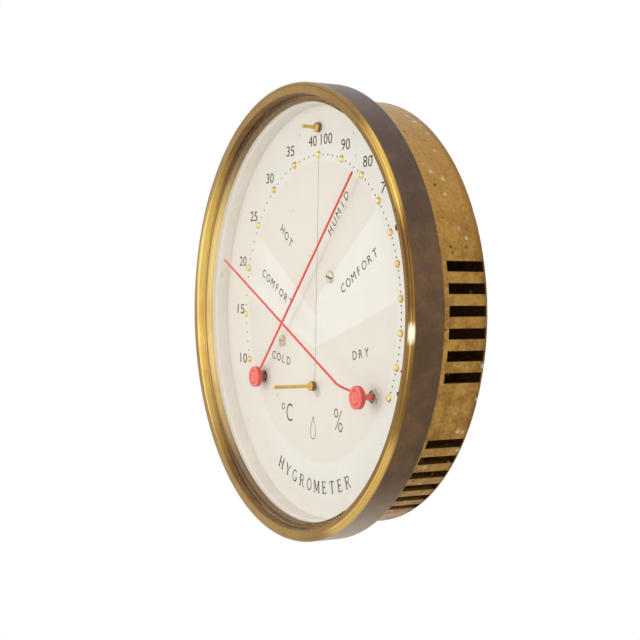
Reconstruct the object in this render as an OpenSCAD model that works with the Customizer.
// Thermo-hygrometer for the wall: two pointers cross in front of one round dial,
// a hair movement turns the left one and a bimetal spiral turns the right one.
// Frame: the wall is the plane y = 0, the dial looks toward -Y and +Z is up.
// Pieces are drawn with x to the right, y up and z away from the wall, and
// on_wall() turns that drawing into the frame. Clock angles start at the top
// and grow clockwise as seen from the front. Lengths are in millimetres.

/* [Case] */
// Outer diameter of the case shell
case_d = 122.1; // [118:0.1:126]
// Depth of the case shell, from the wall to its front edge
case_h = 20.2; // [18.5:0.1:22]
// Thickness of the side wall
case_wall = 1.0; // [0.8:0.1:1.3]
// Thickness of the back
back_t = 0.8; // [0.6:0.1:0.8]
// Rounding of the rear edge
back_round = 0.8; // [0.3:0.1:1.2]
// Radius of the hanging hole for a wall screw's head
hang_r = 4.0; // [3:0.1:5]
// Width of the slot above the hanging hole
hang_slot_w = 4.0; // [3:0.1:5]
// Length of that slot above the hole's centre
hang_slot_l = 8.0; // [6:0.5:9]
// Height of the hanging hole above the case's centre
hang_up = 42.0; // [36:1:46]
// Clearance between pieces that nest
nest = 0.05; // [0.03:0.01:0.15]

/* [Vent slots] */
// Groups of slots around the lower half of the side wall
slot_groups = 5; // [1:1:5]
// Slots in one group
slot_count = 6; // [2:1:6]
// Angle between two groups, degrees
group_step = 45; // [40:1:45]
// Angle between two slots, degrees
slot_pitch = 5.37; // [4.5:0.01:6]
// Width of a slot
slot_w = 2.8; // [1.5:0.05:3.4]
// Length of a slot along the case's axis
slot_l = 11.3; // [8:0.1:12]
// Distance from the wall to the slots
slot_back = 0.85; // [0.85:0.05:1.4]

/* [Bezel] */
// Radial thickness of the bezel's skirt
bezel_wall = 3.9; // [3:0.1:5]
// Length of the skirt's outer band
skirt_l = 8.85; // [8:0.05:10]
// How far the skirt reaches back over the case
skirt_lap = 4.05; // [3:0.05:5]
// Width of the bead round the outer front edge
bead_w = 0.9; // [0.5:0.1:1.2]
// Height of the front face above the outer front edge
face_rise = 0.85; // [0.5:0.05:1.2]
// Width and depth of the valley between bead and front face
valley = 0.15; // [0.1:0.05:0.25]
// Width of the front face, from the bead to the inner shoulder
face_w = 2.5; // [2:0.1:2.6]
// Rounding of the front face's inner shoulder
shoulder_r = 0.4; // [0.2:0.1:0.7]
// How far the inner wall leans in between the shoulder and the glass's seat
wall_lean = 0.3; // [0.1:0.05:0.4]
// Width of the lip, from the case's outer face in to the opening
lip_w = 1.25; // [1.25:0.05:2.4]
// Thickness of the lip at the opening
lip_t = 1.65; // [1.2:0.05:2]
// Height that the lip gains toward the glass's seat
lip_slope = 0.75; // [0.4:0.05:1]

/* [Glass] */
// Thickness of the domed glass
glass_t = 1.2; // [1:0.1:1.4]
// Height of the glass's upright wall above its seat
glass_wall = 0.8; // [0.7:0.1:1.6]
// Outer radius of the shoulder between wall and crown
glass_shoulder = 1.5; // [1.4:0.1:2]
// Height that the crown rises above the upright wall
crown_rise = 8.4; // [8.3:0.1:11]

/* [Dial] */
// Thickness of the dial plate
dial_t = 1.0; // [0.8:0.1:1.2]
// Height of the spacer ring between dial and bezel
spacer_h = 4.1; // [3.5:0.1:4.6]
// Radial width of the spacer ring at the dial
spacer_w = 0.8; // [0.8:0.1:2.4]
// Radial width of the ring that carries the dial
seat_w = 3.0; // [2.2:0.1:4.5]
// Height of the ring that carries the dial
seat_h = 2.0; // [1:0.1:2.4]
// Radius of the circle of scale studs
stud_circle_r = 45.2; // [42:0.1:48]
// Diameter of a stud's dome
stud_d = 2.2; // [1.8:0.1:2.8]
// Height of a stud's dome
stud_h = 0.75; // [0.4:0.05:1]
// Radius of a stud's shank
stud_shank_r = 0.5; // [0.3:0.05:0.6]
// Half the distance between the two pointer axes
hub_x = 32.2; // [30:0.1:33]
// Distance of the pointer axes below the dial's centre
hub_drop = 21.4; // [20:0.1:22]
// Radius of the plain hole behind the left knob
hub_hole_r = 2.0; // [1.8:0.1:2.4]
// Radius of a dial screw's head
screw_head_r = 1.75; // [1.5:0.05:2.1]
// Height of a dial screw's head
screw_head_h = 0.9; // [0.6:0.1:1.2]
// Radius of a dial screw's shank
screw_r = 1.0; // [0.8:0.05:1.1]
// Width of a screwdriver slot
driver_w = 0.45; // [0.3:0.05:0.6]

/* [Stops] */
// Height of the top stop above the dial's centre
top_stop_up = 53.0; // [52:0.1:54]
// Length of the top stop above the dial
top_stop_l = 5.6; // [4:0.1:6]
// Length of the bottom stop above the dial
bottom_stop_l = 13.2; // [10:0.1:13.4]
// Height of the neck under the bottom stop's collar
bottom_neck = 0.5; // [0.2:0.1:0.8]
// Radius of a stop's pin
stop_pin_r = 0.52; // [0.4:0.01:0.6]
// Radius of a stop's collar
stop_collar_r = 1.4; // [1.1:0.05:1.6]
// Height of a stop's collar
stop_collar_h = 1.5; // [1:0.1:2]

/* [Pointers] */
// Angle at which the humidity pointer stands, clockwise from the top
humidity_at = 42.5; // [28:0.5:85]
// Angle at which the temperature pointer stands, clockwise from the top
temperature_at = -65.3; // [-85:0.1:-28]
// Length of the humidity pointer from its axis
humidity_l = 82.2; // [70:0.1:83]
// Length of the temperature pointer from its axis
temperature_l = 86.0; // [70:0.1:88]
// Radius of a pointer's rod
rod_r = 0.33; // [0.25:0.01:0.4]
// Radius of a pointer's knob
knob_r = 3.2; // [2.8:0.1:3.6]
// Thickness of a knob
knob_t = 2.1; // [1.9:0.1:2.4]
// Height of the humidity knob's back above the dial
humidity_knob_up = 1.65; // [1.4:0.05:1.75]
// Height of the temperature knob's back above the dial
temperature_knob_up = 3.75; // [3.6:0.05:3.9]
// Height of the humidity rod above the back of its knob
humidity_rod_up = 0.95; // [0.9:0.05:1]
// Height of the temperature rod above the back of its knob
temperature_rod_up = 1.45; // [1.2:0.05:1.5]
// Height of the temperature rod's far plane above the dial
far_plane_up = 7.5; // [7.4:0.1:8]
// Angle of the temperature rod's crank, degrees
crank_a = 38; // [30:1:40]
// Radius of the bend where the rod leaves its knob
crank_root_r = 1.2; // [0.8:0.1:1.6]
// Radius of the bend where the rod levels out
crank_top_r = 5.0; // [3:0.1:5.4]
// Radius of the stem behind a knob
stem_r = 1.15; // [1:0.05:1.2]

/* [Spindles] */
// Radius of a spindle
spindle_r = 0.75; // [0.6:0.05:0.8]
// Radius of a spindle's rear pivot
pivot_r = 0.5; // [0.35:0.05:0.55]
// Running clearance of a spindle in its bearing
running = 0.05; // [0.02:0.01:0.1]
// Thickness of the frames and bridges
frame_t = 1.0; // [0.8:0.1:1.2]
// Distance from the wall to the rearmost parts of both movements
movement_rear = 2.6; // [2:0.1:3]

/* [Hair movement] */
// Angle of the hair frame above the horizontal
frame_a = 35.2; // [33:0.1:37]
// Width of the hair frame
frame_w = 13.0; // [12:0.5:14]
// Length of the hair frame beyond the humidity axis
frame_l = 74.0; // [70:1:78]
// Length of the hair frame behind the humidity axis
frame_tail = 15.5; // [15:0.5:16]
// Distance of the near dial screw along the frame
screw_near = 16.7; // [14:0.1:18]
// Distance of the far dial screw along the frame
screw_far = 51.1; // [48:0.1:54]
// Offset of both dial screws across the frame
screw_side = 2.74; // [2:0.02:3.5]
// Height of the pillars between dial and frame
pillar_h = 2.5; // [2.2:0.1:3]
// Radius of a pillar
pillar_r = 2.2; // [1.8:0.1:2.6]
// Radius of the drum that takes up the hair
drum_r = 1.8; // [1.5:0.1:2.2]
// Radius of the hair bundle
hair_r = 0.25; // [0.15:0.05:0.35]
// Distance of the adjuster along the frame
adjuster_at = 68.0; // [64:0.5:69]
// Radius of the adjuster's post
adjuster_r = 2.0; // [1.6:0.1:2.4]
// Radius of the adjuster's slotted head
adjuster_head_r = 2.8; // [2.6:0.1:3.2]
// Turns of the hairspring
hairspring_turns = 5; // [3:1:5]
// Distance between the hairspring's turns
hairspring_pitch = 0.8; // [0.6:0.05:0.9]
// Thickness of the hairspring's strip
hairspring_t = 0.2; // [0.12:0.02:0.25]

/* [Bimetal movement] */
// Turns of the bimetal spiral
coil_turns = 5; // [3:1:5]
// Distance between the spiral's turns
coil_pitch = 2.1; // [1.6:0.05:2.2]
// Thickness of the bimetal strip
coil_t = 0.5; // [0.3:0.05:0.7]
// Width of the bimetal strip
coil_w = 5.0; // [3:0.1:6]
// Radius of the collet inside the spiral
collet_r = 2.1; // [1.7:0.1:2.3]
// Running gap between a collet and its spiral
coil_gap = 0.3; // [0.25:0.05:0.5]
// Width of the bracket
bracket_w = 12.0; // [10:0.5:13]
// Distance from the axis to the bracket's web
web_at = 17.5; // [16.5:0.1:19]
// Radius of the bush's ring on the dial
bush_ring_r = 2.25; // [2.1:0.05:2.6]
// Height of the bush's ring
bush_ring_h = 0.5; // [0.3:0.05:0.7]
// Radius of the bush's threaded barrel
bush_r = 2.0; // [1.9:0.05:2.05]
// Radius of the bush's open mouth
bush_mouth_r = 1.75; // [1.6:0.05:1.8]
// Height of the bush's nut
nut_h = 1.4; // [1:0.1:1.6]
// Radius of the nut across its corners
nut_r = 3.8; // [3.2:0.1:4.4]

/* [Hidden] */

// Facets of large and of small round pieces
big = 180;
small = 48;

// Radii of the nested shells
case_r = case_d / 2;
inner_r = case_r - case_wall;
drop_in_r = inner_r - nest;
bezel_bore_r = case_r + nest;
bezel_r = bezel_bore_r + bezel_wall;

// Heights above the wall, from the back to the front
dial_z = case_h - spacer_h;
dial_back = dial_z - dial_t;
skirt_z = case_h - skirt_lap;
edge_z = skirt_z + skirt_l;
lip_back = case_h + nest;
lip_z = lip_back + lip_t;
glass_seat = lip_z + lip_slope;
face_z = edge_z + face_rise;

// Radii across the bezel's front
crest_r = bezel_r - bead_w;
shoulder_at = crest_r - face_w;
glass_bore_r = shoulder_at - wall_lean;
sight_r = case_r - lip_w;
spacer_r = drop_in_r - spacer_w;
seat_r = drop_in_r - seat_w;

// The glass stands on the lip inside the bezel's wall: rim, shoulder and crown
glass_r = glass_bore_r - nest;
shoulder_c = [glass_r - glass_shoulder, glass_seat + glass_wall];
crown_top = shoulder_c.y + crown_rise;

// Small edge breaks: turned edges and the skirt's rear edge
edge_break = 0.2;
skirt_round = 0.3;

// Clock angles of the ten humidity marks, as the hair's stretch spaces them
humidity_marks = [25.8, 35, 43.3, 51.1, 58.3, 64.5, 70.8, 77, 83.4, 89.7];
// The temperature scale is even: marks every 5 degrees below the shared top mark
temperature_top = -25.8;
temperature_step = -10.1;
temperature_marks = [for (i = [1:6]) temperature_top + i * temperature_step];

// Levels of the hair movement, measured down from the dial
frame_z = dial_back - pillar_h - frame_t;
bridge_z = movement_rear + 1.0 + frame_t;
bridge_gap = frame_z - bridge_z;
hair_z = bridge_z + 0.385 * bridge_gap;
groove_h = 1.4;
flange_h = 0.4;
drum_flange_r = drum_r + 0.8;
hair_side = drum_r + coil_gap + hair_r;
clip_h = 1.0;
clip_wall = 1.0;
clip_tube_l = 3.0;
clip_tube_r = 0.6;
foot_l = 5.0;
foot_w = 8.0;
foot_at = -(frame_tail - foot_l / 2 - 0.5);
bridge_reach = 3.5;
bridge_screw_r = 0.7;
bridge_screw_side = 2.2;
spring_z = bridge_z + 0.66 * bridge_gap;
spring_w = 0.7;
spring_collet_r = 1.15;
spring_in = spring_collet_r + coil_gap;
spring_out = spring_in + hairspring_turns * hairspring_pitch + hairspring_t;
spring_stud_r = 0.7;

// Levels of the bimetal movement
bracket_z = dial_back - frame_t;
rear_arm_z = movement_rear;
bracket_gap = bracket_z - rear_arm_z - frame_t;
coil_z = rear_arm_z + frame_t + (bracket_gap - coil_w) / 2 - 0.6;
coil_in = collet_r + coil_gap;
coil_out = coil_in + coil_turns * coil_pitch + coil_t;
coil_stud_r = 1.5;
bearing_l = 1.4;

// How deep a stem and a spindle sit
stem_sink = 0.5;
end_play = 0.2;
spindle_in_knob = 1.3;

module on_wall() rotate([90, 0, 0]) children();
module left_hub() translate([-hub_x, -hub_drop, 0]) children();
module right_hub() translate([hub_x, -hub_drop, 0]) children();
module hair_unit() left_hub() rotate(frame_a) children();
module turned(a) rotate(-a) rotate(90) children();

// Points of an arc about c, from angle a to angle b in n steps
function arc(c, r, a, b, n = 6) = [
    for (i = [0:n]) c + r * [cos(a + (b - a) * i / n), sin(a + (b - a) * i / n)]
];

// Point where a ray from a hub at clock angle a meets a circle about the centre
function on_circle(hub, a, r) =
    let (d = [sin(a), cos(a)], k = hub * d)
    hub + (-k + sqrt(k * k - hub * hub + r * r)) * d;

stud_points = concat(
    [for (a = humidity_marks) on_circle([-hub_x, -hub_drop], a, stud_circle_r)],
    [for (a = temperature_marks) on_circle([hub_x, -hub_drop], a, stud_circle_r)]
);

module ring(r_out, r_in, h) {
    difference() {
        cylinder(r = r_out, h = h, $fn = small);
        translate([0, 0, -1]) cylinder(r = r_in, h = h + 2, $fn = small);
    }
}

// A flat spiral strip of half rings on two centres; it grows by one pitch a turn
module spiral(r_in, pitch, turns, t, w) {
    for (i = [0:2 * turns - 1])
        rotate(180 * (i % 2)) translate([-pitch / 4, 0, 0])
            rotate_extrude(angle = 180, $fn = 72)
                translate([r_in + pitch / 4 + i * pitch / 2, 0]) square([t, w]);
}

module hanging_hole() {
    translate([0, hang_up, -1]) {
        cylinder(r = hang_r, h = back_t + 2, $fn = small);
        translate([-hang_slot_w / 2, 0, 0]) cube([hang_slot_w, hang_slot_l, back_t + 2]);
        translate([0, hang_slot_l, 0]) cylinder(r = hang_slot_w / 2, h = back_t + 2, $fn = small);
    }
}

module vent_slots() {
    for (g = [0:slot_groups - 1], i = [0:slot_count - 1])
        rotate(-g * group_step + (i - (slot_count - 1) / 2) * slot_pitch)
            translate([inner_r - 1, -slot_w / 2, slot_back])
                cube([case_wall + 2, slot_w, slot_l]);
}

module case() {
    color("#a27c3c") on_wall() difference() {
        rotate_extrude($fn = big) polygon(concat(
            [[0, 0]],
            arc([case_r - back_round, back_round], back_round, -90, 0),
            [[case_r, case_h], [inner_r, case_h], [inner_r, back_t], [0, back_t]]
        ));
        vent_slots();
        hanging_hole();
        hair_unit() translate([adjuster_at, hair_side, -1])
            cylinder(r = adjuster_head_r + 0.4, h = back_t + 2, $fn = small);
    }
}

module seat_ring() {
    color("#8f7238") on_wall() translate([0, 0, dial_back - seat_h])
        rotate_extrude($fn = big) polygon([
            [seat_r + seat_h / 2, 0], [drop_in_r, 0],
            [drop_in_r, seat_h], [seat_r, seat_h], [seat_r, seat_h / 2]
        ]);
}

// The bezel's cross-section: skirt, bead, valley, face, inner wall, glass's seat and lip
module bezel_section() {
    bead = [for (a = [0:15:90]) [crest_r + bead_w * cos(a), edge_z + face_rise * sin(a)]];
    polygon(concat(
        [[bezel_bore_r, skirt_z]],
        arc([bezel_r - skirt_round, skirt_z + skirt_round], skirt_round, -90, 0, 3),
        bead,
        [[crest_r - valley / 2, face_z - valley], [crest_r - valley, face_z]],
        arc([shoulder_at + shoulder_r, face_z - shoulder_r], shoulder_r, 90, 180, 5),
        [[glass_bore_r, glass_seat], [glass_r - glass_t, glass_seat]],
        [[sight_r + edge_break, lip_z], [sight_r, lip_z - edge_break], [sight_r, lip_back]],
        [[bezel_bore_r, lip_back]]
    ));
}

module bezel() {
    color("#6b4f38") on_wall() rotate_extrude($fn = big) bezel_section();
}

// Outline of the glass drawn in by t, from height z up: wall, shoulder and crown
function glass_outline(z, t) =
    let (
        r = glass_shoulder - t,
        rise = crown_top - shoulder_c.y,
        // The crown's sphere touches the shoulder's arc from inside
        sphere = (shoulder_c.x * shoulder_c.x + rise * rise - glass_shoulder * glass_shoulder)
            / (2 * (rise - glass_shoulder)),
        centre = crown_top - sphere,
        a = atan2(shoulder_c.y - centre, shoulder_c.x)
    )
    concat(
        [[0, z], [shoulder_c.x + r, z]],
        arc(shoulder_c, r, 0, a, 8),
        arc([0, centre], sphere - t, a, 90, 20)
    );

// A domed shell of even thickness that is pressed into the bezel from the front
module glass() {
    color([0.85, 0.92, 0.95, 0.35]) on_wall() rotate_extrude($fn = big) difference() {
        polygon(glass_outline(glass_seat, 0));
        polygon(glass_outline(glass_seat - 1, glass_t));
    }
}

module spacer_ring() {
    color("#efe9dd") on_wall() translate([0, 0, dial_z])
        rotate_extrude($fn = big) polygon([
            [spacer_r, 0], [drop_in_r, 0], [drop_in_r, spacer_h],
            [spacer_r + 0.6, spacer_h], [spacer_r, spacer_h - 0.6]
        ]);
}

module screw_places() {
    hair_unit() for (s = [screw_near, screw_far])
        translate([s, screw_side, 0]) children();
}

module dial_plate() {
    color("#efe9dd") on_wall() difference() {
        translate([0, 0, dial_back]) cylinder(r = drop_in_r, h = dial_t, $fn = big);
        translate([0, 0, dial_back - 1]) {
            left_hub() cylinder(r = hub_hole_r, h = dial_t + 2, $fn = small);
            right_hub() cylinder(r = bush_r + nest, h = dial_t + 2, $fn = small);
            screw_places() cylinder(r = screw_r + nest, h = dial_t + 2, $fn = small);
            for (y = [top_stop_up, -hub_drop]) translate([0, y, 0])
                cylinder(r = stop_collar_r / 2 + nest, h = dial_t + 2, $fn = small);
            for (p = stud_points) translate([p.x, p.y, 0])
                cylinder(r = stud_shank_r + nest, h = dial_t + 2, $fn = 24);
        }
    }
}

module scale_studs() {
    dome = (stud_d * stud_d / 4 + stud_h * stud_h) / (2 * stud_h);
    color("#d9b457") on_wall() for (p = stud_points) translate([p.x, p.y, dial_z]) {
        rotate_extrude($fn = 32) intersection() {
            translate([0, stud_h - dome]) circle(r = dome, $fn = 96);
            square([stud_d, stud_h]);
        }
        translate([0, 0, -dial_t]) cylinder(r = stud_shank_r, h = dial_t, $fn = 24);
    }
}

module slotted_head(r, h, turn) {
    difference() {
        rotate_extrude($fn = small) polygon(concat(
            [[0, 0], [r, 0]],
            arc([r - h / 2, h / 2], h / 2, 0, 90, 4),
            [[0, h]]
        ));
        rotate(turn) translate([-r - 1, -driver_w / 2, h / 2]) cube([2 * r + 2, driver_w, h]);
    }
}

module dial_screws() {
    shank_l = dial_t + pillar_h - nest;
    color("#b9ab8c") on_wall() translate([0, 0, dial_z]) screw_places() {
        slotted_head(screw_head_r, screw_head_h, -75);
        translate([0, 0, -shank_l]) cylinder(r = screw_r, h = shank_l, $fn = small);
    }
}

// A shank through the dial, a neck, a grooved collar and a long pin
module stop_post(l, neck) {
    shank_r = stop_collar_r / 2;
    top = neck + stop_collar_h;
    mid = neck + stop_collar_h / 2;
    color("#c9a14a") on_wall() translate([0, 0, dial_z]) {
        translate([0, 0, -dial_t]) cylinder(r = shank_r, h = dial_t, $fn = small);
        rotate_extrude($fn = small) polygon([
            [0, 0], [shank_r, 0], [shank_r, neck], [stop_collar_r, neck],
            [stop_collar_r, mid - edge_break], [stop_collar_r - edge_break, mid],
            [stop_collar_r, mid + edge_break], [stop_collar_r, top - 2 * edge_break],
            [stop_collar_r - 2 * edge_break, top], [stop_pin_r, top],
            [stop_pin_r, l - edge_break], [stop_pin_r - edge_break, l], [0, l]
        ]);
    }
}

module top_stop() translate([0, 0, top_stop_up]) stop_post(top_stop_l, 0.1);

module bottom_stop() translate([0, 0, -hub_drop]) stop_post(bottom_stop_l, bottom_neck);

// A knob with a round front edge, a ring groove, a slotted boss and a cone to its stem
module knob(up, rod_up, angle) {
    groove = 0.3;
    back_r = knob_r - 0.5;
    translate([0, 0, dial_z]) difference() {
        rotate_extrude($fn = small) polygon(concat(
            [[0, -stem_sink], [stem_r, -stem_sink], [stem_r, up], [back_r, up + 0.35]],
            [[knob_r, up + 0.8]],
            arc([knob_r - 0.5, up + knob_t - 0.5], 0.5, 0, 90, 4),
            [[2.2, up + knob_t], [2.0, up + knob_t - groove]],
            [[1.6, up + knob_t - groove], [1.4, up + knob_t], [0, up + knob_t]]
        ));
        translate([0, 0, -stem_sink - 1])
            cylinder(r = spindle_r + nest / 2, h = stem_sink + 1 + up + spindle_in_knob, $fn = small);
        turned(angle + 24) translate([-1.3, -driver_w / 2, up + knob_t - groove])
            cube([2.6, driver_w, 1]);
        turned(angle) translate([spindle_r + 0.4, 0, up + rod_up]) rotate([0, 90, 0])
            cylinder(r = rod_r + nest / 2, h = knob_r, $fn = 24);
    }
}

module humidity_knob() {
    color("#e8564c") on_wall() left_hub()
        knob(humidity_knob_up, humidity_rod_up, humidity_at);
}

module temperature_knob() {
    color("#e8564c") on_wall() right_hub()
        knob(temperature_knob_up, temperature_rod_up, temperature_at);
}

// Where a rod starts inside its knob
rod_start = spindle_r + 0.5;

module rod(l) {
    tip = 2 * rod_r;
    rotate([0, 90, 0]) {
        cylinder(r = rod_r, h = l - tip, $fn = 24);
        translate([0, 0, l - tip]) cylinder(r1 = rod_r, r2 = rod_r / 2, h = tip, $fn = 24);
    }
}

module humidity_pointer() {
    color("#e2463d") on_wall() left_hub() turned(humidity_at)
        translate([rod_start, 0, dial_z + humidity_knob_up + humidity_rod_up])
            rod(humidity_l - rod_start);
}

// A round bend in the plane of x and z, from the x direction through angle a
module bend(r, a) {
    translate([0, 0, r]) rotate([90, 0, 0]) rotate([0, 0, -90])
        rotate_extrude(angle = a, $fn = 72) translate([r, 0]) circle(r = rod_r, $fn = 24);
}

module temperature_pointer() {
    low = temperature_knob_up + temperature_rod_up;
    leave = knob_r;
    rise = far_plane_up - low;
    slope_l = (rise - (crank_root_r + crank_top_r) * (1 - cos(crank_a))) / sin(crank_a);
    after_root = [leave + crank_root_r * sin(crank_a), low + crank_root_r * (1 - cos(crank_a))];
    after_slope = after_root + slope_l * [cos(crank_a), sin(crank_a)];
    level_x = after_slope.x + crank_top_r * sin(crank_a);
    color("#e2463d") on_wall() right_hub() turned(temperature_at) translate([0, 0, dial_z]) {
        translate([rod_start, 0, low]) rotate([0, 90, 0])
            cylinder(r = rod_r, h = leave - rod_start, $fn = 24);
        translate([leave, 0, low]) bend(crank_root_r, crank_a);
        translate([after_root.x, 0, after_root.y]) rotate([0, 90 - crank_a, 0])
            cylinder(r = rod_r, h = slope_l, $fn = 24);
        translate([level_x, 0, far_plane_up]) mirror([0, 0, 1]) mirror([1, 0, 0])
            bend(crank_top_r, crank_a);
        translate([level_x, 0, far_plane_up]) rod(temperature_l - level_x);
    }
}

// A spindle from its rear pivot to the inside of its knob
module spindle(bearing_z, knob_up) {
    shoulder = bearing_z + frame_t + end_play;
    top = dial_z + knob_up + spindle_in_knob - 0.1;
    translate([0, 0, bearing_z - 0.3]) cylinder(r = pivot_r, h = shoulder - bearing_z + 0.4, $fn = small);
    translate([0, 0, shoulder]) cylinder(r = spindle_r, h = top - shoulder, $fn = small);
}

module humidity_spindle() {
    color("#b8b8b4") on_wall() left_hub() spindle(bridge_z - frame_t, humidity_knob_up);
}

module temperature_spindle() {
    color("#b8b8b4") on_wall() right_hub() spindle(rear_arm_z, temperature_knob_up);
}

// The grooved drum that takes up the hair, with the hairspring's collet in front
module hair_drum() {
    bottom = -groove_h / 2 - flange_h;
    top = groove_h / 2 + flange_h;
    collet_top = spring_z + spring_w + 0.3 - hair_z;
    color("#c9a14a") on_wall() left_hub() translate([0, 0, hair_z]) rotate_extrude($fn = small)
        polygon([
            [spindle_r, bottom], [drum_flange_r, bottom], [drum_flange_r, -groove_h / 2],
            [drum_r, -groove_h / 2], [drum_r, groove_h / 2], [drum_flange_r, groove_h / 2],
            [drum_flange_r, top], [spring_collet_r, top], [spring_collet_r, collet_top],
            [spindle_r, collet_top]
        ]);
}

module coil_collet() {
    color("#c9a14a") on_wall() right_hub() translate([0, 0, coil_z - 0.6])
        difference() {
            ring(collet_r, spindle_r, coil_w + 1.2);
            translate([spindle_r + 0.4, -coil_t / 2, 0.6]) cube([collet_r, coil_t, coil_w]);
        }
}

// The strip that carries the hair movement: round ends, a window and its holes
module hair_frame() {
    mid = (screw_near + screw_far) / 2;
    window_l = screw_far - screw_near - 14;
    color("#c2a566") on_wall() hair_unit() translate([0, 0, frame_z]) difference() {
        translate([-frame_tail, screw_side - frame_w / 2, 0]) {
            cube([frame_tail + frame_l - frame_w / 2, frame_w, frame_t]);
            translate([frame_tail + frame_l - frame_w / 2, frame_w / 2, 0])
                cylinder(r = frame_w / 2, h = frame_t, $fn = small);
        }
        translate([0, 0, -1]) {
            cylinder(r = spindle_r + running, h = frame_t + 2, $fn = small);
            translate([mid - window_l / 2, screw_side - 2, 0]) cube([window_l, 4, frame_t + 2]);
            for (s = [-1, 1]) translate([mid + s * window_l / 2, screw_side, 0])
                cylinder(r = 2, h = frame_t + 2, $fn = small);
            for (s = [screw_near, screw_far]) translate([s, screw_side, 0])
                cylinder(r = screw_r, h = frame_t + 2, $fn = small);
            for (s = [-1, 1]) translate([foot_at, s * bridge_screw_side, 0])
                cylinder(r = bridge_screw_r + nest, h = frame_t + 2, $fn = small);
            translate([adjuster_at, hair_side, 0])
                cylinder(r = adjuster_r + nest, h = frame_t + 2, $fn = small);
            translate([0, spring_out + spring_stud_r, 0])
                cylinder(r = spring_stud_r, h = frame_t + 2, $fn = small);
        }
    }
}

module frame_pillars() {
    color("#c9a14a") on_wall() translate([0, 0, dial_back - pillar_h]) screw_places()
        ring(pillar_r, screw_r + nest, pillar_h);
}

// A bridge with one foot: it carries the humidity spindle's rear pivot
module hair_bridge() {
    color("#c2a566") on_wall() hair_unit() difference() {
        union() {
            translate([foot_at - foot_l / 2, -foot_w / 2, bridge_z - frame_t])
                cube([foot_l, foot_w, bridge_gap + frame_t]);
            translate([foot_at, -foot_w / 2, bridge_z - frame_t])
                cube([-foot_at, foot_w, frame_t]);
            translate([0, 0, bridge_z - frame_t])
                cylinder(r = foot_w / 2, h = frame_t, $fn = small);
        }
        translate([0, 0, bridge_z - frame_t - 1])
            cylinder(r = pivot_r + running, h = frame_t + 2, $fn = small);
        for (s = [-1, 1]) translate([foot_at, s * bridge_screw_side, frame_z - 3])
            cylinder(r = bridge_screw_r, h = 4, $fn = small);
    }
}

module bridge_screws() {
    color("#b9ab8c") on_wall() hair_unit() for (s = [-1, 1])
        translate([foot_at, s * bridge_screw_side, frame_z + frame_t]) {
            slotted_head(1.3, 0.8, 30);
            translate([0, 0, -frame_t - 2.8]) cylinder(r = bridge_screw_r, h = frame_t + 2.8, $fn = small);
        }
}

module hair_bundle() {
    tube_at = adjuster_at - adjuster_r - clip_wall - clip_tube_l;
    color("#5d4a36") on_wall() hair_unit() translate([0, hair_side, hair_z])
        rotate([0, 90, 0]) cylinder(r = hair_r, h = tube_at + clip_tube_l, $fn = 24);
}

// An eye round the adjuster's post with a tube crimped over the hair's end
module hair_clip() {
    eye_r = adjuster_r + clip_wall;
    color("#c9a14a") on_wall() hair_unit() translate([adjuster_at, hair_side, hair_z])
        difference() {
            union() {
                translate([0, 0, -clip_h / 2]) cylinder(r = eye_r, h = clip_h, $fn = small);
                translate([-eye_r - clip_tube_l, 0, 0]) rotate([0, 90, 0])
                    cylinder(r = clip_tube_r, h = clip_tube_l + clip_wall / 2, $fn = small);
            }
            translate([0, 0, -clip_h]) cylinder(r = adjuster_r - 0.2 + nest, h = 2 * clip_h, $fn = small);
            translate([-eye_r - clip_tube_l - 1, 0, 0]) rotate([0, 90, 0])
                cylinder(r = hair_r, h = clip_tube_l + 1, $fn = 24);
        }
}

// A friction post through the frame, necked for the clip, slotted for setting from behind
module hair_adjuster() {
    head_z = bridge_z - frame_t - 1.0;
    neck = clip_h / 2 + nest;
    color("#c9a14a") on_wall() hair_unit() translate([adjuster_at, hair_side, 0]) difference() {
        rotate_extrude($fn = small) polygon([
            [0, head_z], [adjuster_head_r, head_z], [adjuster_head_r, head_z + 1.6],
            [adjuster_r, head_z + 1.6], [adjuster_r, hair_z - neck],
            [adjuster_r - 0.2, hair_z - neck], [adjuster_r - 0.2, hair_z + neck],
            [adjuster_r, hair_z + neck], [adjuster_r, frame_z + frame_t + 1.2], [0, frame_z + frame_t + 1.2]
        ]);
        translate([-adjuster_head_r - 1, -driver_w, head_z - 1])
            cube([2 * adjuster_head_r + 2, 2 * driver_w, 1.8]);
    }
}

module adjuster_washer() {
    color("#b9ab8c") on_wall() hair_unit() translate([adjuster_at, hair_side, frame_z + frame_t])
        ring(adjuster_r + 1.4, adjuster_r + nest, 0.6);
}

module hairspring() {
    color("#7f8794") on_wall() left_hub() rotate(frame_a + 90) translate([0, 0, spring_z])
        spiral(spring_in, hairspring_pitch, hairspring_turns, hairspring_t, spring_w);
}

module hairspring_stud() {
    color("#c9a14a") on_wall() hair_unit()
        translate([0, spring_out + spring_stud_r, spring_z - 0.3])
            cylinder(r = spring_stud_r, h = frame_z + frame_t - spring_z + 0.3, $fn = small);
}

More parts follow.
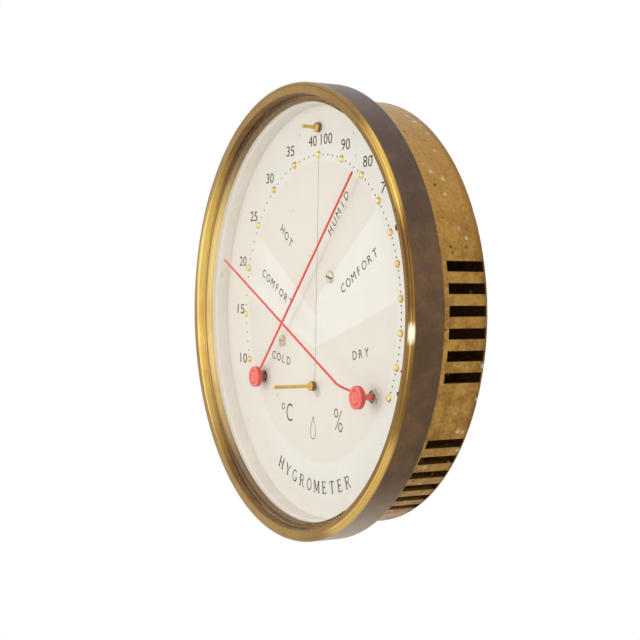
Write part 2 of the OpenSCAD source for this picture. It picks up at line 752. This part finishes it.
// The bush holds the bracket to the dial and is the front bearing of its spindle
module temperature_bush() {
    bottom = bracket_z - nut_h - 0.3;
    color("#b08d4a") on_wall() right_hub() rotate_extrude($fn = small) polygon([
        [spindle_r + running, bottom], [bush_r, bottom], [bush_r, dial_z],
        [bush_ring_r, dial_z], [bush_ring_r, dial_z + bush_ring_h],
        [bush_mouth_r, dial_z + bush_ring_h], [bush_mouth_r, bottom + bearing_l],
        [spindle_r + running, bottom + bearing_l]
    ]);
}

module bush_nut() {
    color("#b9ab8c") on_wall() right_hub() translate([0, 0, bracket_z - nut_h]) difference() {
        cylinder(r = nut_r, h = nut_h, $fn = 6);
        translate([0, 0, -1]) cylinder(r = bush_r, h = nut_h + 2, $fn = small);
    }
}

// One strip bent to a C: the front arm lies on the dial, the rear arm holds the pivot
module coil_bracket() {
    module arm(z, hole_r) {
        translate([0, 0, z]) difference() {
            union() {
                cylinder(r = bracket_w / 2, h = frame_t, $fn = small);
                translate([-bracket_w / 2, 0, 0]) cube([bracket_w, web_at, frame_t]);
            }
            translate([0, 0, -1]) cylinder(r = hole_r, h = frame_t + 2, $fn = small);
        }
    }
    color("#c2a566") on_wall() right_hub() {
        arm(bracket_z, bush_r + nest);
        arm(rear_arm_z, pivot_r + running);
        translate([-bracket_w / 2, web_at, rear_arm_z])
            cube([bracket_w, frame_t, bracket_z + frame_t - rear_arm_z]);
    }
}

module bimetal_coil() {
    color("#a9825a") on_wall() right_hub() rotate(90) translate([0, 0, coil_z])
        spiral(coil_in, coil_pitch, coil_turns, coil_t, coil_w);
}

module coil_stud() {
    color("#c9a14a") on_wall() right_hub()
        translate([0, coil_out + coil_stud_r, rear_arm_z + frame_t])
            cylinder(r = coil_stud_r, h = coil_z + coil_w - rear_arm_z, $fn = small);
}

case();
seat_ring();
bezel();
glass();
spacer_ring();
dial_plate();
scale_studs();
dial_screws();
top_stop();
bottom_stop();
humidity_pointer();
humidity_knob();
humidity_spindle();
hair_drum();
hair_frame();
frame_pillars();
hair_bridge();
bridge_screws();
hair_bundle();
hair_clip();
hair_adjuster();
adjuster_washer();
hairspring();
hairspring_stud();
temperature_pointer();
temperature_knob();
temperature_spindle();
coil_collet();
temperature_bush();
bush_nut();
coil_bracket();
bimetal_coil();
coil_stud();
